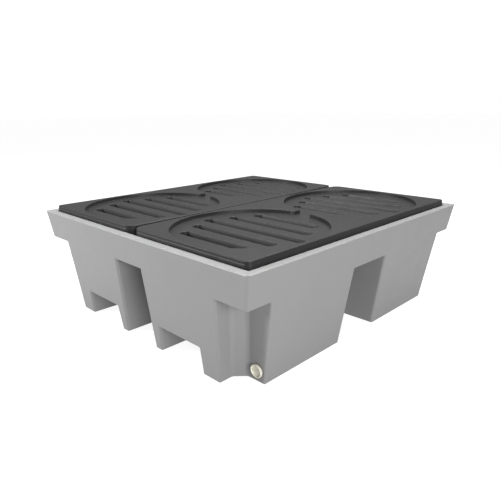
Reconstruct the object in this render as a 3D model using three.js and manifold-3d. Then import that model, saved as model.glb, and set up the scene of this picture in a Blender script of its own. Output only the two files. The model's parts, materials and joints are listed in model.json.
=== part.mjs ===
// Four-drum spill containment pallet: a moulded sump tub on legs, two lift-out deck panels
// with drum recesses and drain slots, and a screwed drain plug. Millimetres, +Z up.
// Origin: centre of the footprint on the ground. The fork pockets run along Y.
import * as THREE from 'three';
import { mergeVertices } from 'three/addons/utils/BufferGeometryUtils.js';
import Module from 'manifold-3d';

const wasm = await Module();
wasm.setup();

// ---------- driving dimensions ----------
// tub envelope
const RIM_HALF = 675;            // half of the square rim
const RIM_Z = 440;               // height of the rim
const DRAFT_X = 78;              // how far each end face leans in, from rim to ground
const DRAFT_Y = 42;              // the same for the two fork faces
const WALL = 8;                  // moulded wall thickness
// corner notches under the rim skirt
const SKIRT_Z = 319;             // underside of the skirt at the corners
const NOTCH_TOP = [508, 557];    // where the notch starts at the skirt, in X and Y
const NOTCH_FOOT = [480, 538];   // and at the ground
const NOTCH_CHAMFER = 38;        // cut across the notch's inner corner
// fork pockets and the tall cross channels
const FORK_Z = 104;
const FORK_FOOT = [144, 388];    // inner and outer wall of a fork pocket at the ground
const FORK_TOP = [154, 385];
const CHANNEL_Y = { foot: 99, top: 85, z: 325 };    // channel that runs along Y
const CHANNEL_X = { foot: 119, top: 108, z: 316 };  // channel that runs along X
const CHANNEL_CORNER = 18;       // rounded top corners of the channels and pockets
// hollow pillars on the cross ridge that carry the deck
const PILLAR_FOOT = 62;          // outside radius at the ridge
const PILLAR_HEAD = 46;          // outside radius at the deck
const PILLAR_SPACING = 330;      // from the middle, along both channels
// rolled rim and the ledge that the deck sits on
const RECESS_HALF = 640;         // opening that takes the deck
const LEDGE_Z = 410;
const LEDGE_HALF = 606;          // inner edge of the ledge
// deck panels
const DECK_HALF = 636;
const DECK_TOP_Z = 463;
const DECK_SKIN = 8;             // top skin and the floors of the drum recesses
const DECK_SKIRT = 10;           // wall round the edge
const DECK_EDGE = 4;             // rounding of the outer edges
const SEAM_MIDDLE = 2.5;         // half gap between the panels at mid-length
const SEAM_END = 9;              // half gap at the ends of the bowed edge
const PANEL_OUTER_CORNER = 22;
const PANEL_SEAM_CORNER = 42;
const DRUM_RECESS_R = 301;       // takes a 585 mm drum with clearance
const DRUM_RECESS_DEPTH = 16;
const DRUM_CENTRE = 319;         // centre of each drum place, in X and Y
const LINK_HALF = 41;            // half width of the channel that joins two recesses
const SLOT_WIDTH = 44;
const SLOT_PITCH = 96;
const SLOT_HALF_LENGTHS = [165, 214, 260, 214, 165];
const SLOT_END_R = 15;           // rounding of the slot's corners
const SLOT_COLLAR = 6;           // wall round each slot under the skin
const RIB_RISE = 5;              // ribs stop this far above the panel's underside
// drain: a 1 1/4 inch pipe-thread plug in a bush moulded into the wall
const DRAIN_X = 569;
const DRAIN_Z = 46;
const BUSH_R = 24;
const BUSH_FLANGE_R = 26;
const BUSH_DEPTH = 24;
const BORE_R = 21.3;
const STEM_R = 20.9;
const STEM_LENGTH = 19;
const GASKET = { outer: 24.4, inner: 21.4, thick: 2 };
const HEAD_R = 24.8;
const HEAD_THICK = 9;
const CUP = { radius: 21.6, depth: 7 };    // hollow in the plug head
const GRIP = { thick: 5, rise: 2.5 };      // bar across the hollow, to turn the plug by
const GAP = 0.3;                 // clearance between touching pieces

// ---------- materials ----------
const greyPolyethylene = () => new THREE.MeshStandardMaterial({ color: 0x9c9d9c, roughness: 0.5, metalness: 0 });
const blackPolyethylene = () => new THREE.MeshStandardMaterial({ color: 0x2b2c2c, roughness: 0.6, metalness: 0 });
const creamNylon = () => new THREE.MeshStandardMaterial({ color: 0xd6d2c2, roughness: 0.4, metalness: 0 });
const bushPolymer = () => new THREE.MeshStandardMaterial({ color: 0xc9c5b6, roughness: 0.45, metalness: 0 });
const gasketRubber = () => new THREE.MeshStandardMaterial({ color: 0x1c1c1c, roughness: 0.8, metalness: 0 });

// ---------- solids ----------
function toSolid(geometry) {
  const bare = geometry.clone();
  bare.deleteAttribute('normal');
  bare.deleteAttribute('uv');
  const merged = mergeVertices(bare, 1e-4);
  return new wasm.Manifold(new wasm.Mesh({
    numProp: 3,
    vertProperties: new Float32Array(merged.attributes.position.array),
    triVerts: new Uint32Array(merged.index.array),
  }));
}

function toGeometry(solid) {
  const mesh = solid.getMesh();
  const geometry = new THREE.BufferGeometry();
  const stride = mesh.numProp;
  const points = new Float32Array(mesh.vertProperties.length / stride * 3);
  for (let i = 0; i < points.length / 3; i += 1) {
    for (let k = 0; k < 3; k += 1) points[i * 3 + k] = mesh.vertProperties[i * stride + k];
  }
  geometry.setAttribute('position', new THREE.BufferAttribute(points, 3));
  geometry.setIndex(new THREE.BufferAttribute(new Uint32Array(mesh.triVerts), 1));
  geometry.computeVertexNormals();
  return geometry;
}

const union = (solids) => solids.reduce((sum, next) => sum.add(next));

function box(x0, x1, y0, y1, z0, z1) {
  const geometry = new THREE.BoxGeometry(x1 - x0, y1 - y0, z1 - z0);
  geometry.translate((x0 + x1) / 2, (y0 + y1) / 2, (z0 + z1) / 2);
  return toSolid(geometry);
}

const squareBox = (half, z0, z1) => box(-half, half, -half, half, z0, z1);

function extrude(shape, z0, z1, curveSegments = 12) {
  const geometry = new THREE.ExtrudeGeometry(shape, { depth: z1 - z0, bevelEnabled: false, curveSegments });
  geometry.translate(0, 0, z0);
  return toSolid(geometry);
}

function cone(x, y, z0, r0, z1, r1, segments = 24) {
  const geometry = new THREE.CylinderGeometry(r1, r0, z1 - z0, segments);
  geometry.rotateX(Math.PI / 2);
  geometry.translate(x, y, (z0 + z1) / 2);
  return toSolid(geometry);
}

// A solid between two outlines with the same number of points, [x, y] at z0 and at z1.
function loft(lower, upper, z0, z1) {
  const n = lower.length;
  const points = [];
  lower.forEach(([x, y]) => points.push(x, y, z0));
  upper.forEach(([x, y]) => points.push(x, y, z1));
  const faces = [];
  for (let i = 0; i < n; i += 1) {
    const j = (i + 1) % n;
    faces.push(i, j, n + j, i, n + j, n + i);
  }
  for (let i = 1; i < n - 1; i += 1) {
    faces.push(0, i + 1, i);
    faces.push(n, n + i, n + i + 1);
  }
  return new wasm.Manifold(new wasm.Mesh({
    numProp: 3,
    vertProperties: new Float32Array(points),
    triVerts: new Uint32Array(faces),
  }));
}

const rectangle = (hx, hy) => [[-hx, -hy], [hx, -hy], [hx, hy], [-hx, hy]];

// ---------- sump tub ----------
// Half sizes of the tub's outside at a height.
const outsideX = (z) => RIM_HALF - DRAFT_X * (1 - z / RIM_Z);
const outsideY = (z) => RIM_HALF - DRAFT_Y * (1 - z / RIM_Z);

function tubEnvelope(inset, z0, z1) {
  return loft(
    rectangle(outsideX(z0) - inset, outsideY(z0) - inset),
    rectangle(outsideX(z1) - inset, outsideY(z1) - inset), z0, z1);
}

// A tapered tunnel with rounded top corners that runs along Y from end to end.
function tunnelAlongY(foot, top, height, corner, grow, run) {
  const slope = [(top[0] - foot[0]) / height, (top[1] - foot[1]) / height];
  const z1 = height + grow;
  const z0 = -1;
  const left = (z) => foot[0] + slope[0] * z - grow;
  const right = (z) => foot[1] + slope[1] * z + grow;
  const r = corner + grow;
  const shape = new THREE.Shape();
  shape.moveTo(left(z0), z0);
  shape.lineTo(right(z0), z0);
  shape.lineTo(right(z1 - r), z1 - r);
  shape.quadraticCurveTo(right(z1), z1, right(z1) - r, z1);
  shape.lineTo(left(z1) + r, z1);
  shape.quadraticCurveTo(left(z1), z1, left(z1 - r), z1 - r);
  shape.closePath();
  const geometry = new THREE.ExtrudeGeometry(shape, { depth: run * 2, bevelEnabled: false, curveSegments: 4 });
  geometry.rotateX(Math.PI / 2);
  geometry.translate(0, run, 0);
  return toSolid(geometry);
}

function tunnels(grow) {
  const run = RIM_HALF + 20;
  const forks = [1, -1].map((side) => {
    const foot = side > 0 ? FORK_FOOT : [-FORK_FOOT[1], -FORK_FOOT[0]];
    const top = side > 0 ? FORK_TOP : [-FORK_TOP[1], -FORK_TOP[0]];
    return tunnelAlongY(foot, top, FORK_Z, CHANNEL_CORNER / 2, grow, run);
  });
  const along = (c) => tunnelAlongY([-c.foot, c.foot], [-c.top, c.top], c.z, CHANNEL_CORNER, grow, run);
  return union([...forks, along(CHANNEL_Y), along(CHANNEL_X).rotate([0, 0, 90])]);
}

// The space taken out of one corner below the skirt, in the quadrant given by two signs.
function cornerNotch(signX, signY, grow) {
  const outline = (start, far) => {
    const [x, y] = [start[0] - grow, start[1] - grow];
    const cut = NOTCH_CHAMFER + grow * 0.6;
    const points = [[x + cut, y], [far, y], [far, far], [x, far], [x, y + cut]];
    const placed = points.map(([px, py]) => [px * signX, py * signY]);
    return signX * signY > 0 ? placed : placed.reverse();
  };
  const far = RIM_HALF + 60;
  const slope = [0, 1].map((k) => (NOTCH_TOP[k] - NOTCH_FOOT[k]) / SKIRT_Z);
  const at = (z) => [0, 1].map((k) => NOTCH_FOOT[k] + slope[k] * z);
  const z0 = -1;
  const z1 = SKIRT_Z + grow;
  return loft(outline(at(z0), far), outline(at(z1), far), z0, z1);
}

const eachCorner = (make) => [[1, 1], [1, -1], [-1, 1], [-1, -1]].map(([sx, sy]) => make(sx, sy));

const pillarPlaces = [
  [0, 0], [0, PILLAR_SPACING], [0, -PILLAR_SPACING], [PILLAR_SPACING, 0], [-PILLAR_SPACING, 0]];
const pillarFootZ = CHANNEL_X.z - 30;

function pillars(inset) {
  const slope = (PILLAR_FOOT - PILLAR_HEAD) / (LEDGE_Z - pillarFootZ);
  const z1 = LEDGE_Z - inset;
  return pillarPlaces.map(([x, y]) => cone(
    x, y, pillarFootZ, PILLAR_FOOT - inset, z1, PILLAR_HEAD - inset + slope * inset));
}

function sumpTub() {
  const outside = tubEnvelope(0, 0, RIM_Z)
    .subtract(tunnels(0))
    .subtract(union(eachCorner((sx, sy) => cornerNotch(sx, sy, 0))))
    .subtract(union(pillars(WALL)));
  const solidUnderSkin = union([tunnels(WALL), ...eachCorner((sx, sy) => cornerNotch(sx, sy, WALL))])
    .add(union(pillars(0)));
  const rolledRim = squareBox(RECESS_HALF + WALL, LEDGE_Z - WALL, RIM_Z)
    .subtract(squareBox(RECESS_HALF, LEDGE_Z, RIM_Z + 1))
    .subtract(squareBox(LEDGE_HALF, LEDGE_Z - WALL - 1, RIM_Z + 1));
  const cavity = tubEnvelope(WALL, WALL, RIM_Z - WALL)
    .add(squareBox(RECESS_HALF, LEDGE_Z, RIM_Z + 10))
    .subtract(rolledRim)
    .subtract(solidUnderSkin);
  const drainHole = cone(0, 0, -40, BUSH_R + GAP, 20, BUSH_R + GAP, 32);
  return outside.subtract(cavity).subtract(placeSolid(drainHole));
}

// ---------- drain ----------
// The drain's own axis points out of the notch wall; its zero lies on the wall's face.
const wallSlope = (NOTCH_TOP[1] - NOTCH_FOOT[1]) / SKIRT_Z;
const drainTilt = Math.atan(wallSlope);
const drainFace = [DRAIN_X, -(NOTCH_FOOT[1] + wallSlope * DRAIN_Z), DRAIN_Z];
const drainTurnDegrees = 90 + THREE.MathUtils.radToDeg(drainTilt);

function placeSolid(solid) {
  return solid.rotate([drainTurnDegrees, 0, 0]).translate(drainFace);
}

function lathe(profile, segments) {
  const points = profile.map(([r, w]) => new THREE.Vector2(r, w));
  const geometry = new THREE.LatheGeometry(points, segments);
  geometry.rotateX(Math.PI / 2);
  return toSolid(geometry);
}

function drainInsert() {
  const inner = -WALL - GAP;
  return placeSolid(lathe([
    [BORE_R, 0], [BORE_R, -BUSH_DEPTH], [BUSH_R, -BUSH_DEPTH], [BUSH_R, inner - 4],
    [BUSH_FLANGE_R, inner - 4], [BUSH_FLANGE_R, inner], [BUSH_R, inner], [BUSH_R, 0], [BORE_R, 0],
  ], 32));
}

function drainGasket() {
  const w0 = GAP;
  const w1 = GAP + GASKET.thick;
  return placeSolid(lathe([
    [GASKET.inner, w0], [GASKET.outer, w0], [GASKET.outer, w1], [GASKET.inner, w1], [GASKET.inner, w0],
  ], 32));
}

// Places along the drain's axis: the plug head's seat on the gasket, and the threaded stem's tip.
const plugSeat = GAP * 2 + GASKET.thick;
const stemTip = plugSeat - STEM_LENGTH;

function drainPlug() {
  const face = plugSeat + HEAD_THICK;
  const floor = face - CUP.depth;
  const body = lathe([
    [0, stemTip], [STEM_R - 1.5, stemTip], [STEM_R, stemTip + 1.5], [STEM_R, plugSeat],
    [HEAD_R - 0.8, plugSeat], [HEAD_R, plugSeat + 0.8], [HEAD_R, face - 2],
    [HEAD_R - 0.6, face - 0.5], [HEAD_R - 1.4, face], [CUP.radius + 1, face], [CUP.radius + 0.3, face - 0.6],
    [CUP.radius, face - 1.2], [CUP.radius - 0.6, floor + 1.2], [CUP.radius - 1.8, floor], [0, floor],
  ], 32);
  const half = GRIP.thick / 2;
  const reach = CUP.radius - 1;
  return placeSolid(body.add(box(-reach, reach, -half, half, floor - 1, floor + GRIP.rise)));
}

// ---------- deck panels ----------
function roundedRectangle(x0, x1, y0, y1, r) {
  const shape = new THREE.Shape();
  shape.moveTo(x0 + r, y0);
  shape.lineTo(x1 - r, y0);
  shape.absarc(x1 - r, y0 + r, r, -Math.PI / 2, 0);
  shape.lineTo(x1, y1 - r);
  shape.absarc(x1 - r, y1 - r, r, 0, Math.PI / 2);
  shape.lineTo(x0 + r, y1);
  shape.absarc(x0 + r, y1 - r, r, Math.PI / 2, Math.PI);
  shape.lineTo(x0, y0 + r);
  shape.absarc(x0 + r, y0 + r, r, Math.PI, Math.PI * 1.5);
  return shape;
}

// Outline of the right-hand panel: bowed seam edge on the left, large corners next to the seam.
function panelOutline(inset) {
  const [xOut, y] = [DECK_HALF - inset, DECK_HALF - inset];
  const [xMid, xEnd] = [SEAM_MIDDLE + inset, SEAM_END + inset];
  const seamR = PANEL_SEAM_CORNER - inset / 2;
  const outR = PANEL_OUTER_CORNER - inset / 2;
  const shape = new THREE.Shape();
  shape.moveTo(xEnd + seamR, -y);
  shape.lineTo(xOut - outR, -y);
  shape.absarc(xOut - outR, -y + outR, outR, -Math.PI / 2, 0);
  shape.lineTo(xOut, y - outR);
  shape.absarc(xOut - outR, y - outR, outR, 0, Math.PI / 2);
  shape.lineTo(xEnd + seamR, y);
  shape.absarc(xEnd + seamR, y - seamR, seamR, Math.PI / 2, Math.PI);
  shape.quadraticCurveTo(2 * xMid - xEnd, 0, xEnd, -y + seamR);
  shape.absarc(xEnd + seamR, -y + seamR, seamR, Math.PI, Math.PI * 1.5);
  return shape;
}

// Body of the panel with rounded top and bottom edges.
function panelBlank(z0, z1) {
  const geometry = new THREE.ExtrudeGeometry(panelOutline(DECK_EDGE), {
    depth: z1 - z0 - 2 * DECK_EDGE, bevelEnabled: true, bevelThickness: DECK_EDGE,
    bevelSize: DECK_EDGE, bevelSegments: 2, curveSegments: 5 });
  geometry.translate(0, 0, z0 + DECK_EDGE);
  return toSolid(geometry);
}

const drumPlaces = [[DRUM_CENTRE, DRUM_CENTRE], [DRUM_CENTRE, -DRUM_CENTRE]];

// Two round drum recesses and the short channel that joins them.
function recesses(grow, z0, z1) {
  const rounds = drumPlaces.map(([x, y]) => cone(x, y, z0, DRUM_RECESS_R + grow, z1, DRUM_RECESS_R + grow, 60));
  const half = LINK_HALF + grow;
  const link = box(DRUM_CENTRE - half, DRUM_CENTRE + half, -60, 60, z0, z1);
  return union([...rounds, link]);
}

function slots(grow, z0, z1) {
  const middle = (SLOT_HALF_LENGTHS.length - 1) / 2;
  const all = drumPlaces.flatMap(([x, y]) => SLOT_HALF_LENGTHS.map((half, i) => {
    const centre = y + (i - middle) * SLOT_PITCH;
    const [hx, hy] = [half + grow, SLOT_WIDTH / 2 + grow];
    const shape = roundedRectangle(x - hx, x + hx, centre - hy, centre + hy, SLOT_END_R + grow);
    return extrude(shape, z0, z1, 2);
  }));
  return union(all);
}

const ribPlacesX = [DRUM_CENTRE - 200, DRUM_CENTRE - 70, DRUM_CENTRE + 70, DRUM_CENTRE + 200];

function deckPanel() {
  const bottom = LEDGE_Z + GAP;
  const floorZ = DECK_TOP_Z - DRUM_RECESS_DEPTH;
  const inner = extrude(panelOutline(DECK_SKIRT), bottom - 1, DECK_TOP_Z - DECK_SKIN, 5);
  const underRecess = recesses(DECK_SKIN, floorZ - DECK_SKIN, DECK_TOP_Z);
  const ribTop = DECK_TOP_Z - DECK_SKIN + 2;
  const ribs = union(ribPlacesX.map((x) => box(x - 3, x + 3, -DECK_HALF, DECK_HALF, bottom + RIB_RISE, ribTop)));
  const crossRib = box(0, DECK_HALF, -3, 3, bottom + RIB_RISE, ribTop);
  const hollow = inner
    .subtract(underRecess)
    .subtract(slots(SLOT_COLLAR, bottom - 2, DECK_TOP_Z))
    .subtract(ribs)
    .subtract(crossRib);
  return panelBlank(bottom, DECK_TOP_Z)
    .subtract(hollow)
    .subtract(recesses(0, floorZ, DECK_TOP_Z + 5))
    .subtract(slots(0, bottom - 5, DECK_TOP_Z + 5));
}

// ---------- assembly ----------
const assembly = new THREE.Group();

function addPart(name, solid, material) {
  const mesh = new THREE.Mesh(toGeometry(solid), material);
  mesh.name = name;
  assembly.add(mesh);
  return mesh;
}

const rightPanel = deckPanel();
addPart('sump_tub', sumpTub(), greyPolyethylene());
addPart('deck_panel_right', rightPanel, blackPolyethylene());
addPart('deck_panel_left', rightPanel.rotate([0, 0, 180]), blackPolyethylene());
addPart('drain_insert', drainInsert(), bushPolymer());
addPart('drain_gasket', drainGasket(), gasketRubber());
addPart('drain_plug', drainPlug(), creamNylon());

export default assembly;
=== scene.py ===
"""Spill containment pallet for four drums: moulded sump tub, two lift-out deck panels, screwed drain."""

import json
import math

import bmesh
import bpy
import numpy as np
from bpy.props import FloatProperty, FloatVectorProperty, IntProperty, PointerProperty
from mathutils import Matrix, Vector
from mathutils.geometry import delaunay_2d_cdt


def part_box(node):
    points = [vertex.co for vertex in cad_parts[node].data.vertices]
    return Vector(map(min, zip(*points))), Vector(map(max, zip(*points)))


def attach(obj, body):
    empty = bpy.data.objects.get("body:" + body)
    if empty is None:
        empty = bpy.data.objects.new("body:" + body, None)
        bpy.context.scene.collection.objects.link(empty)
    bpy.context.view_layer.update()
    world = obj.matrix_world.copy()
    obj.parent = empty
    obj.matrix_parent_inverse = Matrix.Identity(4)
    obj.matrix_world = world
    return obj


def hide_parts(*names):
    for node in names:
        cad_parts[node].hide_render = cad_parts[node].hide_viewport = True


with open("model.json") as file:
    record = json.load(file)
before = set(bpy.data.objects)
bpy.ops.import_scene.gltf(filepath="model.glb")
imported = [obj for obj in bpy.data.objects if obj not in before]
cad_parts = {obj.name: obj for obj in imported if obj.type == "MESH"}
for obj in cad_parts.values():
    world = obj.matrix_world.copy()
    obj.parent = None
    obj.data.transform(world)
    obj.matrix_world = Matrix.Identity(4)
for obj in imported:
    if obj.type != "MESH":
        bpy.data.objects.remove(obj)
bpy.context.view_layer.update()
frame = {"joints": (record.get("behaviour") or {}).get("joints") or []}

bl_info = {
    "name": "Spill containment pallet",
    "version": (1, 0, 0),
    "blender": (4, 5, 0),
    "location": "View3D > Sidebar > Spill Pallet",
    "description": "Builds a four drum spill pallet around its packed frame",
    "category": "Object",
}

# ---------------------------------------------------------------- places that come from the frame
TUB_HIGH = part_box("sump_tub")[1]
PANEL_LOW, PANEL_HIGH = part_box("deck_panel_right")


def joint(name):
    """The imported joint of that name."""
    return next(j for j in frame["joints"] if j["name"] == name)


DRAIN_AXIS = Vector(joint("plug_screw")["axis"]).normalized()
DRAIN_FACE = Vector(joint("plug_screw")["pos_m"])


# ---------------------------------------------------------------- sizes and finishes
def length(name, description, default):
    """A length in metres that a user may change."""
    return FloatProperty(name=name, description=description, default=default, unit="LENGTH", precision=4)


def shade(name, description, default):
    """A linear colour that a user may change."""
    return FloatVectorProperty(
        name=name, description=description, default=default, subtype="COLOR", size=3, min=0.0, max=1.0)


class TubSizes(bpy.types.PropertyGroup):
    """Sizes of the sump tub."""

    rim_half: length("Rim half width", "Half of the square rim", TUB_HIGH.x)
    rim_height: length("Rim height", "Top of the rolled rim", TUB_HIGH.z)
    lean_x: length("End face lean", "How far each end face leans in from rim to ground", 0.078)
    lean_y: length("Fork face lean", "How far each fork face leans in from rim to ground", 0.042)
    wall: length("Wall", "Moulded wall thickness", 0.008)
    skirt_height: length("Skirt height", "Underside of the rim skirt at the corners", 0.319)
    ledge_height: length("Ledge height", "Height of the ledge that carries the deck", 0.410)
    recess_half: length("Deck opening", "Half of the square opening for the deck", 0.640)
    ledge_width: length("Ledge width", "How far the ledge reaches in", 0.034)
    corner_round: length("Corner rounding", "Rounding of the upright outer corners", 0.017)
    rim_round: length("Rim rounding", "Rounding of the rim's outer edge", 0.0050)


class DeckSizes(bpy.types.PropertyGroup):
    """Sizes of the deck panels."""

    top: length("Deck top", "Height of the deck surface", PANEL_HIGH.z)
    underside: length("Underside", "Height of the panel's lower edge", PANEL_LOW.z)
    half: length("Half width", "Half of the square deck", PANEL_HIGH.x)
    recess_radius: length("Drum recess radius", "Radius of each round drum recess", 0.301)
    recess_depth: length("Drum recess depth", "Depth of the drum recesses", 0.016)
    drum_centre: length("Drum centre", "Centre of each drum place in X and Y", 0.319)
    slot_width: length("Slot width", "Width of the drain slots", 0.044)
    slot_pitch: length("Slot pitch", "Distance between drain slots", 0.096)
    skin: length("Skin", "Thickness of the recess floor", 0.008)


class DrainSizes(bpy.types.PropertyGroup):
    """Sizes of the drain bush, gasket and plug."""

    bore: length("Bore radius", "Radius of the bush's bore", 0.0213)
    stem: length("Stem radius", "Radius of the plug's thread", 0.0209)
    head: length("Head radius", "Radius of the plug's head", 0.0248)
    cup: length("Cup radius", "Radius of the hollow in the plug's head", 0.0216)
    cup_depth: length("Cup depth", "Depth of the hollow in the plug's head", 0.007)
    pitch: length("Thread pitch", "Travel in one turn of the plug", 0.002309)
    steps: IntProperty(name="Steps", description="Points round each turned piece", default=96, min=24)


class Finishes(bpy.types.PropertyGroup):
    """Colours of the mouldings."""

    tub: shade("Tub", "Grey polyethylene of the sump tub", (0.215, 0.216, 0.215))
    deck: shade("Deck", "Black polyethylene of the deck panels", (0.017, 0.0172, 0.017))
    plug: shade("Plug", "Cream nylon of the drain plug", (0.62, 0.60, 0.51))
    bush: shade("Bush", "Polymer of the drain bush", (0.50, 0.48, 0.41))
    gasket: shade("Gasket", "Rubber of the gasket", (0.02, 0.02, 0.02))


# ---------------------------------------------------------------- materials
def moulded(name, colour, roughness, grain, peel, mottle, scuff=0.0, specular=0.5):
    """Moulded plastic: mottled colour, fine grain and soft waves in its bump, and dull scuffs.

    Grain and peel are the depths of the two bumps in metres. Mottle is a share of the colour."""
    material = bpy.data.materials.new(name)
    material.use_nodes = True
    nodes, links = material.node_tree.nodes, material.node_tree.links
    shader = nodes["Principled BSDF"]
    shader.inputs["Metallic"].default_value = 0.0
    shader.inputs["IOR"].default_value = 1.5
    shader.inputs["Specular IOR Level"].default_value = specular
    place = nodes.new("ShaderNodeTexCoord").outputs["Object"]

    def noise(scale, detail, rough=0.5):
        node = nodes.new("ShaderNodeTexNoise")
        node.inputs["Scale"].default_value = scale
        node.inputs["Detail"].default_value = detail
        node.inputs["Roughness"].default_value = rough
        links.new(place, node.inputs["Vector"])
        return node.outputs["Fac"]

    def spread(source, low, high, to_low, to_high):
        node = nodes.new("ShaderNodeMapRange")
        for socket, value in zip(("From Min", "From Max", "To Min", "To Max"), (low, high, to_low, to_high)):
            node.inputs[socket].default_value = value
        links.new(source, node.inputs["Value"])
        return node.outputs["Result"]

    def sum_of(a, b):
        node = nodes.new("ShaderNodeMath")
        node.operation = "ADD"
        links.new(a, node.inputs[0])
        links.new(b, node.inputs[1])
        return node.outputs["Value"]

    clouds = noise(scale=3.5, detail=3.0)
    speckle = noise(scale=900.0, detail=2.0, rough=0.6)
    tint = nodes.new("ShaderNodeValToRGB")
    tint.color_ramp.elements[0].position = 0.3
    tint.color_ramp.elements[1].position = 0.7
    tint.color_ramp.elements[0].color = (*[c * (1 - mottle) for c in colour], 1)
    tint.color_ramp.elements[1].color = (*[min(1, c * (1 + mottle)) for c in colour], 1)
    links.new(sum_of(spread(clouds, 0, 1, 0.0, 0.7), spread(speckle, 0, 1, 0.0, 0.3)), tint.inputs["Fac"])
    links.new(tint.outputs["Color"], shader.inputs["Base Color"])

    dull = spread(noise(scale=14.0, detail=6.0, rough=0.65), 0.35, 0.7, roughness - 0.04, roughness + 0.05)
    if scuff:
        stretch = nodes.new("ShaderNodeMapping")
        stretch.inputs["Scale"].default_value = (5.0, 60.0, 60.0)
        stretch.inputs["Rotation"].default_value = (0.3, 0.2, 0.5)
        links.new(place, stretch.inputs["Vector"])
        streaks = nodes.new("ShaderNodeTexNoise")
        streaks.inputs["Scale"].default_value = 2.0
        streaks.inputs["Detail"].default_value = 8.0
        links.new(stretch.outputs["Vector"], streaks.inputs["Vector"])
        dull = sum_of(dull, spread(streaks.outputs["Fac"], 0.62, 0.75, 0.0, scuff))
    links.new(dull, shader.inputs["Roughness"])

    def bump(distance, height):
        node = nodes.new("ShaderNodeBump")
        node.inputs["Strength"].default_value = 1.0
        node.inputs["Distance"].default_value = distance
        links.new(height, node.inputs["Height"])
        return node

    wave = bump(peel, noise(scale=38.0, detail=2.0))
    fine = bump(grain, noise(scale=1400.0, detail=3.0, rough=0.6))
    links.new(wave.outputs["Normal"], fine.inputs["Normal"])
    links.new(fine.outputs["Normal"], shader.inputs["Normal"])
    return material


def finish_materials(colours):
    """The five finishes, by name, made once."""
    if "grey_moulding" not in bpy.data.materials:
        moulded("grey_moulding", colours.tub, roughness=0.42, grain=0.00004, peel=0.00030, mottle=0.030,
                scuff=0.10)
        moulded("black_moulding", colours.deck, roughness=0.44, grain=0.00006, peel=0.00015, mottle=0.10,
                scuff=0.12, specular=0.24)
        moulded("cream_nylon", colours.plug, roughness=0.34, grain=0.00002, peel=0.00005, mottle=0.03)
        moulded("bush_moulding", colours.bush, roughness=0.45, grain=0.00002, peel=0.00005, mottle=0.03)
        moulded("gasket_rubber", colours.gasket, roughness=0.75, grain=0.00005, peel=0.00005, mottle=0.10)
    return bpy.data.materials


# ---------------------------------------------------------------- mesh helpers
def new_mesh(name, points, faces):
    """A mesh from points and faces."""
    mesh = bpy.data.meshes.new(name)
    mesh.from_pydata([tuple(p) for p in points], [], faces)
    return mesh


def facing_out(mesh):
    """The same mesh, with all its faces turned outwards."""
    bm = bmesh.new()
    bm.from_mesh(mesh)
    bmesh.ops.recalc_face_normals(bm, faces=bm.faces)
    bm.to_mesh(mesh)
    bm.free()
    return mesh


def adopt(name, mesh, body, material, stands_for):
    """A named piece from a finished mesh, riding on its body, with flat faces that stay flat."""
    facing_out(mesh)
    mesh.validate()
    mesh.shade_smooth()
    made = bpy.data.objects.new(name, mesh)
    bpy.context.scene.collection.objects.link(made)
    mesh.materials.clear()
    mesh.materials.append(material)
    flatten = made.modifiers.new("flat faces", "WEIGHTED_NORMAL")
    flatten.keep_sharp = True
    flatten.weight = 80
    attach(made, body)
    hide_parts(*stands_for)


def loft_mesh(name, lower, upper, low, high):
    """A closed mesh between two outlines with the same number of corners."""
    count = len(lower)
    points = [(x, y, low) for x, y in lower] + [(x, y, high) for x, y in upper]
    faces = [tuple(range(count - 1, -1, -1)), tuple(range(count, 2 * count))]
    faces += [(i, (i + 1) % count, count + (i + 1) % count, count + i) for i in range(count)]
    return new_mesh(name, points, faces)


def scratch(mesh):
    """A scratch object for cutting."""
    made = bpy.data.objects.new(mesh.name, mesh)
    bpy.context.scene.collection.objects.link(made)
    return made


def baked(source):
    """A new mesh with the object's modifiers applied. The scratch object is removed."""
    bpy.context.view_layer.update()
    graph = bpy.context.evaluated_depsgraph_get()
    mesh = bpy.data.meshes.new_from_object(source.evaluated_get(graph))
    bpy.data.objects.remove(source)
    return mesh


def combined(mesh, others, operation):
    """The mesh with each of the others taken out (DIFFERENCE) or joined on (UNION)."""
    body = scratch(mesh)
    tools = [scratch(other) for other in others]
    for tool in tools:
        step = body.modifiers.new("combine", "BOOLEAN")
        step.operation = operation
        step.solver = "EXACT"
        step.object = tool
    result = baked(body)
    for tool in tools:
        bpy.data.objects.remove(tool)
    return result


# ---------------------------------------------------------------- sump tub
NOTCH_TOP = (0.508, 0.557)        # where a corner notch starts at the skirt, in X and Y
NOTCH_FOOT = (0.480, 0.538)       # and at the ground
NOTCH_CHAMFER = 0.038             # cut across the notch's inner corner
FORK_HEIGHT = 0.104
FORK_FOOT = (0.144, 0.388)        # inner and outer wall of a fork pocket at the ground
FORK_TOP = (0.154, 0.385)         # and at its ceiling
CHANNEL_Y = (0.099, 0.085, 0.325)  # half width at foot and top, and height, of the channel along Y
CHANNEL_X = (0.119, 0.108, 0.316)  # the same along X
PILLARS = ((0.0, 0.0), (0.0, 0.330), (0.0, -0.330), (0.330, 0.0), (-0.330, 0.0))
PILLAR_FOOT = 0.054               # radius where a pillar's cutter starts, inside the channels
PILLAR_NEAR = PILLAR_FOOT + 0.002  # edges nearer than this to a pillar's axis belong to it
PILLAR_HEAD = 0.0385              # radius under the deck
PILLAR_START = 0.286              # height where that cutter starts
PILLAR_SIDES = 32
BELOW = 0.030                     # how far cutters pass the ground, and the rim
FAR = 0.8                         # how far cutters reach from the middle, past the rim
HOLE_REACH = 0.030                # how far the drain hole's cutter reaches on each side of the wall's face
HOLE_SIDES = 64
BUSH_WALL = 0.003                 # from the bush's bore to the edge of the hole that it stands in

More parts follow.
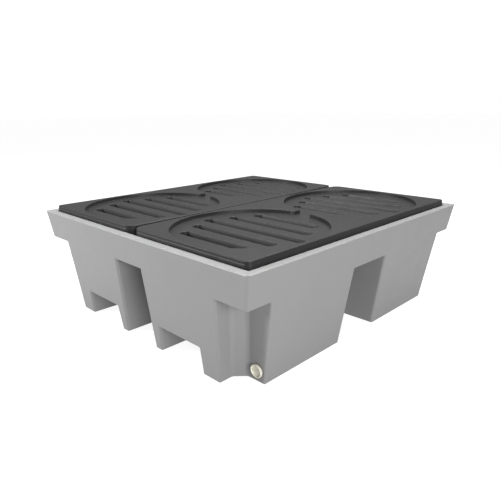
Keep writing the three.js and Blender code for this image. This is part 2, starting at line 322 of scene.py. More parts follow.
# how far each kind of tub edge is rounded
GROUND_ROUND = 0.003
RIM_INSIDE_ROUND = 0.004
SKIRT_ROUND = 0.005
PILLAR_HEAD_ROUND = 0.006
LEDGE_ROUND = 0.008
OPENING_ROUND = 0.012             # upright corners of the deck opening
LEVEL_ROUND = (0.006, 0.012)      # outside and inside corners that lie level
NOTCH_ROUND = (0.008, 0.012)      # outside and inside corners that stand up in a notch
UPRIGHT_ROUND = (0.012, 0.020)    # and in the other walls
LARGEST_ROUND = 0.022

# where each kind of tub edge is
RIM_FACE = 0.655                  # further out than this in X or Y is the rim's outer face
CORNER_FROM = 0.600               # further out than this in X and Y is an outer corner
NOTCH_FROM = 0.460                # and than this a corner notch
PILLARS_WITHIN = 0.550            # the pillars are nearer than this in X and Y
RIM_BAND = 0.012                  # edges of the rim, ledge and pillar heads start this far below the ledge
SHORT_EDGE = 0.012                # edges up to this length beside a pillar stay sharp
UPRIGHT = 0.8                     # an upright edge rises by more than this share of its length
CLOSE = 0.003                     # heights that differ by less than this count as the same
SHARP = math.radians(18)          # edges that turn by more than this are rounded


def rectangle(half_x, half_y):
    """Corners of a rectangle about the middle."""
    return [(-half_x, -half_y), (half_x, -half_y), (half_x, half_y), (-half_x, half_y)]


def tunnel_mesh(name, foot, top, height, along_x=False):
    """A tapered tunnel that runs right through the tub along Y, or along X."""
    drop = [(f - (t - f) / height * BELOW) for f, t in zip(foot, top)]
    section = [(drop[0], -BELOW), (drop[1], -BELOW), (top[1], height), (top[0], height)]
    points = [(x, -FAR, z) for x, z in section] + [(x, FAR, z) for x, z in section]
    faces = [(0, 1, 2, 3), (7, 6, 5, 4)] + [(i, 4 + i, 4 + (i + 1) % 4, (i + 1) % 4) for i in range(4)]
    if along_x:
        points = [(-y, x, z) for x, y, z in points]
    return facing_out(new_mesh(name, points, faces))


def notch_mesh(sign_x, sign_y, skirt):
    """The space taken out of one corner below the skirt."""
    def outline(z):
        share = z / skirt
        x, y = (f + (t - f) * share for f, t in zip(NOTCH_FOOT, NOTCH_TOP))
        points = [(x + NOTCH_CHAMFER, y), (FAR, y), (FAR, FAR), (x, FAR), (x, y + NOTCH_CHAMFER)]
        placed = [(px * sign_x, py * sign_y) for px, py in points]
        return placed if sign_x * sign_y > 0 else placed[::-1]
    return loft_mesh("notch", outline(-BELOW), outline(skirt), -BELOW, skirt)


def circle(x, y, radius, count):
    """Points round a circle."""
    return [(x + radius * math.cos(2 * math.pi * i / count), y + radius * math.sin(2 * math.pi * i / count))
            for i in range(count)]


def tub_rounding(edge, sizes):
    """How far the bevel at this edge reaches, in metres."""
    a, b = (v.co for v in edge.verts)
    middle = (a + b) / 2
    upright = abs((b - a).normalized().z) > UPRIGHT
    x, y, z = abs(middle.x), abs(middle.y), middle.z
    inside_corner = edge.calc_face_angle_signed(0.0) <= 0
    near_pillar = any(math.hypot(middle.x - px, middle.y - py) < PILLAR_NEAR for px, py in PILLARS)
    if near_pillar and (b - a).length <= SHORT_EDGE:
        return 0.0
    if z > sizes.ledge_height - RIM_BAND:
        if z > sizes.rim_height - CLOSE:
            return sizes.rim_round if max(x, y) > RIM_FACE else RIM_INSIDE_ROUND
        if upright:
            return sizes.corner_round if max(x, y) > RIM_FACE else OPENING_ROUND
        return PILLAR_HEAD_ROUND if max(x, y) < PILLARS_WITHIN else LEDGE_ROUND
    if z < CLOSE:
        return GROUND_ROUND
    if upright:
        if min(x, y) > CORNER_FROM:
            return sizes.corner_round
        return (NOTCH_ROUND if min(x, y) > NOTCH_FROM else UPRIGHT_ROUND)[inside_corner]
    if abs(z - sizes.skirt_height) < CLOSE and not inside_corner:
        return SKIRT_ROUND
    return LEVEL_ROUND[inside_corner]


def faces_at(bm, height):
    """The upward faces at one height."""
    return [f for f in bm.faces if abs(f.calc_center_median().z - height) < 1e-4 and f.normal.z > 0.9]


def tub_mesh(sizes):
    """The tub's outer skin, rounded and thickened inwards."""
    def outside(z):
        lean = 1 - z / sizes.rim_height
        return sizes.rim_half - sizes.lean_x * lean, sizes.rim_half - sizes.lean_y * lean

    block = loft_mesh("tub", rectangle(*outside(0.0)), rectangle(*outside(sizes.rim_height)),
                      0.0, sizes.rim_height)
    cutters = []
    for side in (1, -1):
        walls = [tuple(sorted(side * w for w in pair)) for pair in (FORK_FOOT, FORK_TOP)]
        cutters.append(tunnel_mesh("fork_pocket", *walls, FORK_HEIGHT))
    for along_x, (foot, top, height) in ((False, CHANNEL_Y), (True, CHANNEL_X)):
        cutters.append(tunnel_mesh("channel", (-foot, foot), (-top, top), height, along_x))
    for sign_x in (1, -1):
        for sign_y in (1, -1):
            cutters.append(notch_mesh(sign_x, sign_y, sizes.skirt_height))
    head = sizes.ledge_height - sizes.wall
    for x, y in PILLARS:
        cutters.append(loft_mesh("pillar", circle(x, y, PILLAR_FOOT, PILLAR_SIDES),
                                 circle(x, y, PILLAR_HEAD, PILLAR_SIDES), PILLAR_START, head))
    opening = rectangle(sizes.recess_half, sizes.recess_half)
    cutters.append(loft_mesh("deck_opening", opening, opening, sizes.ledge_height, sizes.rim_height + BELOW))
    mesh = combined(block, cutters, "DIFFERENCE")

    bm = bmesh.new()
    bm.from_mesh(mesh)
    bmesh.ops.remove_doubles(bm, verts=bm.verts, dist=1e-5)
    bmesh.ops.dissolve_limit(bm, angle_limit=math.radians(1.0), verts=bm.verts, edges=bm.edges)
    bmesh.ops.dissolve_faces(bm, faces=faces_at(bm, sizes.ledge_height))
    floor = faces_at(bm, sizes.ledge_height)
    bmesh.ops.inset_region(bm, faces=floor, thickness=sizes.ledge_width, use_even_offset=True)
    bmesh.ops.delete(bm, geom=floor, context="FACES")
    weight = bm.edges.layers.float.get("bevel_weight_edge") or bm.edges.layers.float.new("bevel_weight_edge")
    for edge in bm.edges:
        if len(edge.link_faces) == 2 and edge.calc_face_angle(0.0) > SHARP:
            edge[weight] = tub_rounding(edge, sizes) / LARGEST_ROUND
    bm.to_mesh(mesh)
    bm.free()

    skin = scratch(mesh)
    rounding = skin.modifiers.new("rounding", "BEVEL")
    rounding.limit_method = "WEIGHT"
    rounding.width = LARGEST_ROUND
    rounding.segments = 5
    rounding.use_clamp_overlap = False
    rounding.loop_slide = True
    rounding.miter_outer = "MITER_SHARP"
    thick = skin.modifiers.new("wall", "SOLIDIFY")
    thick.thickness = sizes.wall
    thick.offset = -1.0
    thick.use_even_offset = True
    thick.use_quality_normals = True
    mesh = baked(skin)
    for vertex in mesh.vertices:
        vertex.co.z = max(vertex.co.z, 0.0)
    return mesh


class PALLET_OT_build_tub(bpy.types.Operator):
    """Build the grey sump tub: rolled rim, leaning walls, corner notches, legs, channels and pillars"""

    bl_idname = "pallet.build_tub"
    bl_label = "Sump tub"

    def execute(self, context):
        sizes = context.scene.pallet_tub
        drain = context.scene.pallet_drain
        looks = finish_materials(context.scene.pallet_finishes)
        radius = drain.bore + BUSH_WALL
        hole = turned_points([(radius, -HOLE_REACH), (radius, HOLE_REACH)], HOLE_SIDES)
        drill = turned_mesh("drain_hole", hole, HOLE_SIDES, closed_ends=True)
        mesh = combined(tub_mesh(sizes), [drill], "DIFFERENCE")
        adopt("tub_shell", mesh, "tub", looks["grey_moulding"], ["sump_tub"])
        return {"FINISHED"}


# ---------------------------------------------------------------- deck panels
SLOT_HALF_LENGTHS = (0.165, 0.214, 0.260, 0.214, 0.165)
SLOT_CORNER = 0.0195
SLOT_LEAN = 0.0036                # how far each long side of a slot leans in, from top to bottom
SLOT_CURVE = ((0.008, 0.0014), (0.014, 0.0025), (0.021, 0.0033))  # depth and lean on the way there
EDGE = 0.0032                     # rounding of a panel's top edge
LIP = 0.0020                      # rounding at the rim and foot of a drum recess
RECESS_LEAN = 0.0006              # how far the recess's wall leans in
MOUTH = 0.0022                    # rounding of a slot's mouth
COLLAR = 0.006                    # thickness of the collar round a slot
COLLAR_LIFT = 0.004               # from the underside up to the collar's end
SIDE = 0.010                      # thickness of a panel's side wall
STEP = 0.0016                     # how far the side wall steps out
STEP_DROP = 0.0125                # from the deck's top down to that step
RIB_PLACES = (-0.200, -0.070, 0.070, 0.200)   # from the drum centre, along X
RIB_HALF = 0.003
RIB_LIFT = 0.005                  # from the underside up to a rib's lower edge
RIB_BITE = 0.003                  # how far a rib runs up into the recess floor
RIB_END_BITE = 0.002              # and into the side wall
COLLAR_BITE = 0.001               # and into a collar
MIDDLE_RIB_START = 0.012          # where the rib between the drums starts, inside the seam's wall


def arc(x, y, radius, start, end, count, outward=1.0):
    """Points and normals on an arc, in degrees. The normals point at its centre if outward is -1."""
    turn = np.radians(np.linspace(start, end, count))
    normal = np.stack([np.cos(turn), np.sin(turn)], 1)
    return np.array([x, y]) + radius * normal, outward * normal


def joined(parts):
    """One closed outline from arcs, as points and normals."""
    return np.concatenate([p for p, _ in parts]), np.concatenate([n for _, n in parts])


def panel_outline(half, outer_corner=0.022, seam_corner=0.042, gap_middle=0.0025, gap_end=0.009):
    """Outline of the right-hand panel, with a bowed edge at the seam."""
    y_end = half - seam_corner
    right = half - outer_corner
    seam_x = gap_end + seam_corner
    ys = np.linspace(y_end, -y_end, 41)[1:-1]
    xs = gap_middle + (gap_end - gap_middle) * (ys / y_end) ** 2
    slope = 2 * (gap_end - gap_middle) * ys / y_end ** 2
    normals = np.stack([-np.ones_like(ys), slope], 1)
    normals /= np.linalg.norm(normals, axis=1)[:, None]
    return joined([
        arc(right, -right, outer_corner, -90, 0, 9),
        arc(right, right, outer_corner, 0, 90, 9),
        arc(seam_x, y_end, seam_corner, 90, 180, 13),
        (np.stack([xs, ys], 1), normals),
        arc(seam_x, -y_end, seam_corner, 180, 270, 13),
    ])


def recess_outline(centre, radius, link=0.041, fillet=0.008):
    """Two round drum recesses and the short channel that joins them."""
    reach = link + fillet
    drop = math.sqrt((radius + fillet) ** 2 - reach ** 2)
    meet = math.degrees(math.atan2(drop, reach))
    y = centre - drop
    return joined([
        arc(centre, centre, radius, -meet, 180 + meet, 145),
        arc(centre - reach, y, fillet, meet, 0, 7, -1.0),
        arc(centre - reach, -y, fillet, 0, -meet, 7, -1.0),
        arc(centre, -centre, radius, 180 - meet, 360 + meet, 145),
        arc(centre + reach, -y, fillet, 180 + meet, 180, 7, -1.0),
        arc(centre + reach, y, fillet, 180, 180 - meet, 7, -1.0),
    ])


def slot_outline(x, y, half_length, half_width, corner):
    """A drain slot with rounded ends."""
    dx, dy = half_length - corner, half_width - corner
    return joined([
        arc(x + dx, y - dy, corner, -90, 0, 8),
        arc(x + dx, y + dy, corner, 0, 90, 8),
        arc(x - dx, y + dy, corner, 90, 180, 8),
        arc(x - dx, y - dy, corner, 180, 270, 8),
    ])


class Skin:
    """Collects rings, flat areas and blocks into one mesh."""

    def __init__(self):
        self.points = []
        self.faces = []

    def ring(self, outline, offset, z):
        points, normals = outline
        first = len(self.points)
        for x, y in points + np.multiply(offset, normals):
            self.points.append((x, y, z))
        return list(range(first, first + len(points)))

    def wall(self, outline, profile):
        """Rings of the outline at each (offset, height), joined by quads. Returns the first and last ring.

        An offset may be one distance, or one along X and one along Y."""
        rings = [self.ring(outline, offset, z) for offset, z in profile]
        for a, b in zip(rings, rings[1:]):
            count = len(a)
            self.faces += [(a[i], a[(i + 1) % count], b[(i + 1) % count], b[i]) for i in range(count)]
        return rings[0], rings[-1]

    def area(self, border, holes):
        """A flat area inside the border ring and outside the hole rings."""
        ids = list(border) + [i for hole in holes for i in hole]
        flat = [Vector(self.points[i][:2]) for i in ids]
        edges, at = [], 0
        for loop in [border, *holes]:
            edges += [(at + i, at + (i + 1) % len(loop)) for i in range(len(loop))]
            at += len(loop)
        _, _, triangles, originals, _, _ = delaunay_2d_cdt(flat, edges, [], 1, 1e-9)
        outlines = [np.array([self.points[i][:2] for i in loop]) for loop in [border, *holes]]
        for triangle in triangles:
            corners = [ids[originals[i][0]] for i in triangle]
            middle = np.mean([self.points[i][:2] for i in corners], axis=0)
            if inside(outlines[0], middle) and not any(inside(o, middle) for o in outlines[1:]):
                self.faces.append(tuple(corners))

    def block(self, x0, x1, y0, y1, z0, z1):
        """A closed box, such as a rib."""
        first = len(self.points)
        for z in (z0, z1):
            self.points += [(x0, y0, z), (x1, y0, z), (x1, y1, z), (x0, y1, z)]
        self.faces += [tuple(first + i for i in face) for face in (
            (3, 2, 1, 0), (4, 5, 6, 7), (0, 1, 5, 4), (1, 2, 6, 5), (2, 3, 7, 6), (3, 0, 4, 7))]


def inside(outline, point):
    """True if the point is inside the outline."""
    x, y = point
    ax, ay = outline[:, 0], outline[:, 1]
    bx, by = np.roll(ax, -1), np.roll(ay, -1)
    crosses = (ay > y) != (by > y)
    at = ax + (y - ay) / np.where(by == ay, 1.0, by - ay) * (bx - ax)
    return bool(np.sum(crosses & (x < at)) % 2)


def rounded(start, end, radius, steps, centre):
    """Profile points of a round between two (offset, height) points about the given centre."""
    a = math.atan2(start[1] - centre[1], start[0] - centre[0])
    b = math.atan2(end[1] - centre[1], end[0] - centre[0])
    if b - a > math.pi:
        b -= 2 * math.pi
    if a - b > math.pi:
        b += 2 * math.pi
    return [(centre[0] + radius * math.cos(a + (b - a) * i / steps),
             centre[1] + radius * math.sin(a + (b - a) * i / steps)) for i in range(steps + 1)]


def side_profile(top, low, ceiling):
    """The panel's side wall: top rounding, step, outer face, lower edge and inner face."""
    step_at = top - STEP_DROP
    profile = rounded((-STEP - EDGE, top), (-STEP, top - EDGE), EDGE, 5, (-STEP - EDGE, top - EDGE))
    profile += [(-STEP, step_at + 0.0012)]
    profile += rounded((-STEP * 0.6, step_at + 0.0004), (0.0, step_at - 0.0012), STEP, 2,
                       (-STEP, step_at - 0.0012))
    profile += [(0.0, top - 0.030), (-0.0004, low + 0.003), (-0.0012, low + 0.001), (-0.003, low)]
    profile += [(-SIDE + 0.002, low), (-SIDE, low + 0.0015), (-SIDE, ceiling)]
    return profile


def recess_profile(top, floor):
    """The wall of a drum recess, from the deck's top to the recess floor."""
    profile = rounded((LIP, top), (0.0, top - LIP), LIP, 4, (LIP, top - LIP))
    profile += rounded((-RECESS_LEAN, floor + LIP), (-RECESS_LEAN - LIP, floor), LIP, 4,
                       (-RECESS_LEAN - LIP, floor + LIP))
    return profile


def slot_profile(floor, low, ceiling):
    """The wall of a slot, from the recess floor down and back up the outside of its collar."""
    end = low + COLLAR_LIFT
    profile = rounded((MOUTH, floor), (0.0, floor - MOUTH), MOUTH, 4, (MOUTH, floor - MOUTH))
    profile += [((0.0, -lean), floor - depth) for depth, lean in SLOT_CURVE]
    profile += [((0.0, -SLOT_LEAN), end + 0.0015), ((0.001, -SLOT_LEAN + 0.001), end), (COLLAR - 0.001, end),
                (COLLAR, end + 0.0015), (COLLAR, ceiling)]
    return profile


def add_ribs(skin, sizes, slots, ceiling):
    """Ribs along Y under the recess floors, broken by the slots, and one rib along X between the drums."""
    bottom, top = sizes.underside + RIB_LIFT, ceiling + RIB_BITE
    far = sizes.half - SIDE + RIB_END_BITE
    half_slot = sizes.slot_width / 2 + COLLAR - COLLAR_BITE
    for offset in RIB_PLACES:
        x = sizes.drum_centre + offset
        stops = [-far]
        for y, half in slots:
            if abs(offset) < half + COLLAR:
                stops += [y - half_slot, y + half_slot]
        stops.append(far)
        for a, b in zip(stops[::2], stops[1::2]):
            skin.block(x - RIB_HALF, x + RIB_HALF, a, b, bottom, top)
    skin.block(MIDDLE_RIB_START, far, -RIB_HALF, RIB_HALF, bottom, top)


def panel_skin(sizes):
    """The right-hand deck panel."""
    floor = sizes.top - sizes.recess_depth
    ceiling = floor - sizes.skin
    skin = Skin()
    sides = side_profile(sizes.top, sizes.underside, ceiling)
    top_ring, ceiling_ring = skin.wall(panel_outline(sizes.half), sides)
    recess = recess_outline(sizes.drum_centre, sizes.recess_radius)
    land_ring, floor_ring = skin.wall(recess, recess_profile(sizes.top, floor))
    skin.area(top_ring, [land_ring])

    mouths, collars = [], []
    middle = (len(SLOT_HALF_LENGTHS) - 1) / 2
    slots = [(sign * sizes.drum_centre + (i - middle) * sizes.slot_pitch, half)
             for sign in (-1, 1) for i, half in enumerate(SLOT_HALF_LENGTHS)]
    for y, half in slots:
        outline = slot_outline(sizes.drum_centre, y, half, sizes.slot_width / 2, SLOT_CORNER)
        mouth, collar = skin.wall(outline, slot_profile(floor, sizes.underside, ceiling))
        mouths.append(mouth)
        collars.append(collar)
    skin.area(floor_ring, mouths)
    skin.area(ceiling_ring, collars)
    add_ribs(skin, sizes, slots, ceiling)
    return skin


class PALLET_OT_build_deck(bpy.types.Operator):
    """Build the two black deck panels: drum recesses, link channel, drain slots, collars and ribs"""

    bl_idname = "pallet.build_deck"
    bl_label = "Deck panels"

    def execute(self, context):
        looks = finish_materials(context.scene.pallet_finishes)
        skin = panel_skin(context.scene.pallet_deck)
        for side, turn in (("right", 1), ("left", -1)):
            points = [(turn * x, turn * y, z) for x, y, z in skin.points]
            adopt(f"deck_{side}", new_mesh(f"deck_{side}", points, skin.faces), f"panel_{side}",
                  looks["black_moulding"], [f"deck_panel_{side}"])
        return {"FINISHED"}


# ---------------------------------------------------------------- drain
# Heights are along the drain's axis, from the notch wall's outer face. Plus is out of the wall.
MM = 0.001
BUSH_BODY = 24 * MM               # radius through the wall
BUSH_FLANGE = 26 * MM             # radius behind the wall
BUSH_MOUTH = 22.4 * MM            # radius where the bore opens
BUSH_END = -24 * MM
WALL_BACK = -8.3 * MM             # where the bush's flange starts, just clear of the wall
FLANGE_END = WALL_BACK - 4 * MM
BUSH_THREAD = 0.9 * MM            # depth of the thread in the bush
PLUG_THREAD = 1.0 * MM            # and on the plug
GASKET = (0.3 * MM, 2.3 * MM)     # faces of the gasket
SEAT = 2.6 * MM                   # underside of the plug's head
TIP = -16.4 * MM                  # end of the plug's stem
HEAD_HEIGHT = 9 * MM
NEAR_AXIS = 0.05 * MM             # radius of the small cap in the middle of a turned face


def drain_matrix():
    """Puts the drain's own +Z on the plug's axis, out of the notch wall."""
    side = Vector((1.0, 0.0, 0.0))
    up = DRAIN_AXIS.cross(side)
    turn = Matrix((side, up, DRAIN_AXIS)).transposed().to_4x4()
    return Matrix.Translation(DRAIN_FACE) @ turn


def turned_points(profile, steps, helix=None):
    """Rings of points round the drain axis. helix(radius, height, turn) may move each point's radius."""
    place = drain_matrix()
    rings = []
    for radius, height in profile:
        ring = []
        for i in range(steps):
            turn = 2 * math.pi * i / steps
            r = helix(radius, height, turn) if helix else radius
            ring.append(place @ Vector((r * math.cos(turn), r * math.sin(turn), height)))
        rings.append(ring)
    return rings


def turned_mesh(name, rings, steps, closed_ends=False, loop=False):
    """A mesh from rings. closed_ends caps both ends, and loop joins the last ring to the first."""
    points = [p for ring in rings for p in ring]
    faces = []
    pairs = list(range(len(rings) - 1)) + ([len(rings) - 1] if loop else [])
    for k in pairs:
        a, b = k * steps, ((k + 1) % len(rings)) * steps
        faces += [(a + i, a + (i + 1) % steps, b + (i + 1) % steps, b + i) for i in range(steps)]
    if closed_ends:
        faces += [tuple(range(steps - 1, -1, -1)), tuple(range((len(rings) - 1) * steps, len(rings) * steps))]
    return facing_out(new_mesh(name, points, faces))


def thread(pitch, depth, first, last):
    """A helix that lowers the radius by up to depth between two heights, and fades at both ends."""
    def moved(radius, height, turn):
        if not first < height < last:
            return radius
        phase = (height / pitch - turn / (2 * math.pi)) % 1.0
        crest = min(1.0, 2.2 * abs(phase - 0.5))
        fade = min(1.0, (height - first) / pitch, (last - height) / pitch)
        return radius - depth * (1 - crest) * fade
    return moved


def bush_mesh(sizes):
    """The bush: threaded bore with an open mouth, body through the wall, and flange behind it."""
    heights = np.linspace(-BUSH_THREAD, BUSH_END + BUSH_THREAD, 81)
    profile = [(BUSH_BODY, -0.1 * MM), (BUSH_MOUTH, -0.1 * MM)]
    profile += [(sizes.bore + BUSH_THREAD, height) for height in heights]
    profile += [(BUSH_MOUTH, BUSH_END), (BUSH_BODY - 0.6 * MM, BUSH_END), (BUSH_BODY, BUSH_END + 0.6 * MM)]
    profile += [(BUSH_BODY, FLANGE_END), (BUSH_FLANGE - 0.5 * MM, FLANGE_END)]
    profile += [(BUSH_FLANGE, FLANGE_END + 0.5 * MM), (BUSH_FLANGE, WALL_BACK - 0.5 * MM)]
    profile += [(BUSH_FLANGE - 0.5 * MM, WALL_BACK), (BUSH_BODY, WALL_BACK)]
    helix = thread(sizes.pitch, BUSH_THREAD, BUSH_END + 1.5 * MM, -0.8 * MM)

    def grooved(radius, height, turn):
        return helix(radius, height, turn) if radius < BUSH_MOUTH - 0.1 * MM else radius

    return turned_mesh("drain_bush", turned_points(profile, sizes.steps, grooved), sizes.steps, loop=True)


def gasket_mesh(sizes):
    """The gasket: a flat ring with its edges rounded off."""
    low, high = GASKET
    profile = [(21.5 * MM, low + 0.5 * MM), (22.0 * MM, low), (23.8 * MM, low), (24.3 * MM, low + 0.5 * MM),
               (24.38 * MM, (low + high) / 2), (24.3 * MM, high - 0.5 * MM), (23.8 * MM, high),
               (22.0 * MM, high), (21.5 * MM, high - 0.5 * MM)]
    return turned_mesh("drain_gasket_ring", turned_points(profile, sizes.steps), sizes.steps, loop=True)


def grip_mesh(cup, floor):
    """The grip bar across the hollow of the plug's head."""
    bar = loft_mesh("grip", rectangle(cup - 2 * MM, 2.4 * MM), rectangle(cup - 2.4 * MM, 1.7 * MM),
                    floor - 0.4 * MM, floor + 2.4 * MM)
    bar.transform(drain_matrix())
    rounding = scratch(bar)
    soft = rounding.modifiers.new("rounding", "BEVEL")
    soft.width = 0.6 * MM
    soft.segments = 2
    return baked(rounding)


def plug_mesh(sizes):
    """The plug: threaded stem, head with a rolled lip and a hollow, and a grip bar in the hollow."""
    face = SEAT + HEAD_HEIGHT
    floor = face - sizes.cup_depth
    head, cup, stem = sizes.head, sizes.cup, sizes.stem
    profile = [(NEAR_AXIS, TIP), (stem - 1.6 * MM, TIP)]
    profile += [(stem, height) for height in np.linspace(TIP + 1.6 * MM, SEAT - 1.2 * MM, 61)]
    profile += [(stem, SEAT - 0.4 * MM), (stem + 0.4 * MM, SEAT)]
    profile += [(head - 0.7 * MM, SEAT), (head, SEAT + 0.7 * MM), (head, face - 2.4 * MM)]
    profile += [(head - 0.25 * MM, face - 1.1 * MM), (head - 0.8 * MM, face - 0.3 * MM)]
    profile += [(head - 1.6 * MM, face), (head - 2.3 * MM, face - 0.15 * MM)]
    profile += [(cup + 0.25 * MM, face - 0.6 * MM), (cup, face - 1.2 * MM)]
    profile += [(cup - 0.5 * MM, floor + 1.6 * MM), (cup - 0.9 * MM, floor + 0.6 * MM)]
    profile += [(cup - 1.8 * MM, floor + 0.05 * MM), (NEAR_AXIS, floor)]
    helix = thread(sizes.pitch, PLUG_THREAD, TIP + 1.0 * MM, SEAT - 1.4 * MM)

    def grooved(radius, height, turn):
        return helix(radius, height, turn) if height < SEAT - MM and radius > 20 * MM else radius

    body = turned_mesh("plug", turned_points(profile, sizes.steps, grooved), sizes.steps, closed_ends=True)
    return combined(body, [grip_mesh(cup, floor)], "UNION")


class PALLET_OT_build_drain(bpy.types.Operator):
    """Build the drain: threaded bush in the wall, gasket, and cream plug with its threaded stem"""

    bl_idname = "pallet.build_drain"
    bl_label = "Drain bush, gasket and plug"

    def execute(self, context):
        sizes = context.scene.pallet_drain
        looks = finish_materials(context.scene.pallet_finishes)
        adopt("drain_bush", bush_mesh(sizes), "tub", looks["bush_moulding"], ["drain_insert"])
        adopt("drain_gasket_ring", gasket_mesh(sizes), "gasket", looks["gasket_rubber"],
              ["drain_gasket"])
        adopt("drain_plug_body", plug_mesh(sizes), "plug", looks["cream_nylon"], ["drain_plug"])
        return {"FINISHED"}


# ---------------------------------------------------------------- stage
# Angles are in degrees, the lens and sensor in millimetres and the rest in metres. The camera looks at the
# axis of the pallet at that height, then moves right and up in its own view.
CAMERA = {"azimuth": 44.080, "elevation": 17.146, "distance": 2.3319, "right": 0.06686, "up": 0.00915,
          "roll": -0.680, "lens": 34.97, "sensor": 36.0, "shift": (-0.0333, 0.0087), "height": 0.200}
FLOOR_REACH = 40.0
FLOOR_DROP = 0.0005               # the floor lies just below the feet
FLOOR_COLOUR = (0.22, 0.22, 0.22, 1)
FLOOR_GLOW = (0.45, 0.90)         # for bounced light, and for what the camera sees
WHITE = (1.0, 1.0, 1.0, 1.0)
ROOM_LIGHT = 0.34                 # strength of the world as a lamp
BACKDROP = 1.0                    # and as what the camera sees
LAMPS = (                         # name, size, power in watts, place, and the point that it looks at
    ("overhead", (3.0, 3.0), 245, (-0.1, 0.5, 3.4), (0, 0, 0.3)),
    ("key", (0.6, 0.6), 215, (-2.9, -3.6, 2.10), (0, 0, 0.40)),
    ("fill", (2.2, 1.4), 175, (4.3, -1.9, 1.4), (0, 0, 0.25)),
)


def add_lamp(name, size, power, place, target):
    """A soft rectangular lamp that looks at the target."""
    data = bpy.data.lights.new(name, "AREA")
    data.shape = "RECTANGLE"
    data.size, data.size_y = size
    data.energy = power
    lamp = bpy.data.objects.new(name, data)
    bpy.context.scene.collection.objects.link(lamp)
    lamp.location = place
    lamp.rotation_euler = (Vector(target) - Vector(place)).to_track_quat("-Z", "Y").to_euler()


def add_camera(scene):
    """The camera, rolled and shifted as CAMERA says."""
    az, el, roll = (math.radians(CAMERA[k]) for k in ("azimuth", "elevation", "roll"))
    back = Vector((math.sin(az) * math.cos(el), -math.cos(az) * math.cos(el), math.sin(el)))
    right = Vector((math.cos(az), math.sin(az), 0.0))
    up = back.cross(right)
    place = (Vector((0, 0, CAMERA["height"])) + right * CAMERA["right"] + up * CAMERA["up"]
             + back * CAMERA["distance"])
    turned_right = right * math.cos(roll) + up * math.sin(roll)
    turned_up = up * math.cos(roll) - right * math.sin(roll)
    data = bpy.data.cameras.new("camera")
    data.lens = CAMERA["lens"]
    data.sensor_width = CAMERA["sensor"]
    data.shift_x, data.shift_y = CAMERA["shift"]
    camera = bpy.data.objects.new("camera", data)
    scene.collection.objects.link(camera)
    turn = Matrix((turned_right, turned_up, back)).transposed().to_4x4()
    camera.matrix_world = Matrix.Translation(place) @ turn
    scene.camera = camera


def floor_paper():
    """Matt paper that glows, and glows more for the camera than for other rays."""
    paper = bpy.data.materials.new("floor_paper")
    paper.use_nodes = True
    nodes, links = paper.node_tree.nodes, paper.node_tree.links
    shader = nodes["Principled BSDF"]
    shader.inputs["Base Color"].default_value = FLOOR_COLOUR
    shader.inputs["Roughness"].default_value = 0.9
    shader.inputs["Specular IOR Level"].default_value = 0.1
    shader.inputs["Emission Color"].default_value = WHITE
    glow = nodes.new("ShaderNodeMapRange")
    glow.inputs["To Min"].default_value, glow.inputs["To Max"].default_value = FLOOR_GLOW
    seen = nodes.new("ShaderNodeLightPath")
    links.new(seen.outputs["Is Camera Ray"], glow.inputs["Value"])
    links.new(glow.outputs["Result"], shader.inputs["Emission Strength"])
    return paper


def add_world(scene):
    """A dim room as a lamp, and a white backdrop for the camera."""
    world = bpy.data.worlds.new("studio")
    scene.world = world
    world.use_nodes = True
    nodes, links = world.node_tree.nodes, world.node_tree.links
    room = nodes["Background"]
    room.inputs["Color"].default_value = WHITE
    room.inputs["Strength"].default_value = ROOM_LIGHT
    backdrop = nodes.new("ShaderNodeBackground")
    backdrop.inputs["Color"].default_value = WHITE
    backdrop.inputs["Strength"].default_value = BACKDROP
    seen = nodes.new("ShaderNodeMixShader")
    links.new(nodes.new("ShaderNodeLightPath").outputs["Is Camera Ray"], seen.inputs["Fac"])
    links.new(room.outputs["Background"], seen.inputs[1])
    links.new(backdrop.outputs["Background"], seen.inputs[2])
    links.new(seen.outputs["Shader"], nodes["World Output"].inputs["Surface"])


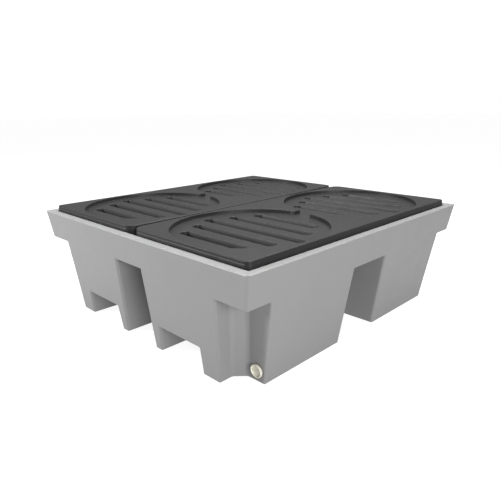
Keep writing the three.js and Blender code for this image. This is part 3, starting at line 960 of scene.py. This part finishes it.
class PALLET_OT_build_stage(bpy.types.Operator):
    """Build the floor, the studio lamps and the camera"""

    bl_idname = "pallet.build_stage"
    bl_label = "Floor, lamps and camera"

    def execute(self, context):
        scene = context.scene
        add_camera(scene)
        corners = [(x, y, 0) for x, y in rectangle(FLOOR_REACH, FLOOR_REACH)]
        mesh = new_mesh("floor", corners, [(0, 1, 2, 3)])
        floor = bpy.data.objects.new("floor", mesh)
        scene.collection.objects.link(floor)
        floor.location.z = -FLOOR_DROP
        mesh.materials.append(floor_paper())
        add_world(scene)
        for lamp in LAMPS:
            add_lamp(*lamp)
        scene.view_settings.view_transform = "Standard"
        return {"FINISHED"}


# ---------------------------------------------------------------- add-on
class PALLET_PT_pieces(bpy.types.Panel):
    """Lists the pieces of the pallet"""

    bl_label = "Spill pallet"
    bl_idname = "PALLET_PT_pieces"
    bl_space_type = "VIEW_3D"
    bl_region_type = "UI"
    bl_category = "Spill Pallet"

    def draw(self, context):
        for operator in OPERATORS:
            self.layout.operator(operator.bl_idname)
        for name in GROUPS:
            group = getattr(context.scene, name)
            box = self.layout.box()
            for prop in group.bl_rna.properties:
                if not prop.is_readonly and prop.identifier != "name":
                    box.prop(group, prop.identifier)


GROUPS = {
    "pallet_tub": TubSizes,
    "pallet_deck": DeckSizes,
    "pallet_drain": DrainSizes,
    "pallet_finishes": Finishes,
}
OPERATORS = (PALLET_OT_build_tub, PALLET_OT_build_deck, PALLET_OT_build_drain, PALLET_OT_build_stage)
CLASSES = (*GROUPS.values(), *OPERATORS, PALLET_PT_pieces)


def register():
    """Register the classes and put the sizes on the scene."""
    for made in CLASSES:
        bpy.utils.register_class(made)
    for name, group in GROUPS.items():
        setattr(bpy.types.Scene, name, PointerProperty(type=group))


def unregister():
    """Take the sizes off the scene and the classes out again."""
    for name in GROUPS:
        delattr(bpy.types.Scene, name)
    for made in reversed(CLASSES):
        bpy.utils.unregister_class(made)


def main():
    """Build every piece."""
    register()
    for name in ("build_tub", "build_deck", "build_drain", "build_stage"):
        if getattr(bpy.ops.pallet, name)() != {"FINISHED"}:
            raise RuntimeError(f"{name} did not finish")


if __name__ == "__main__":
    main()
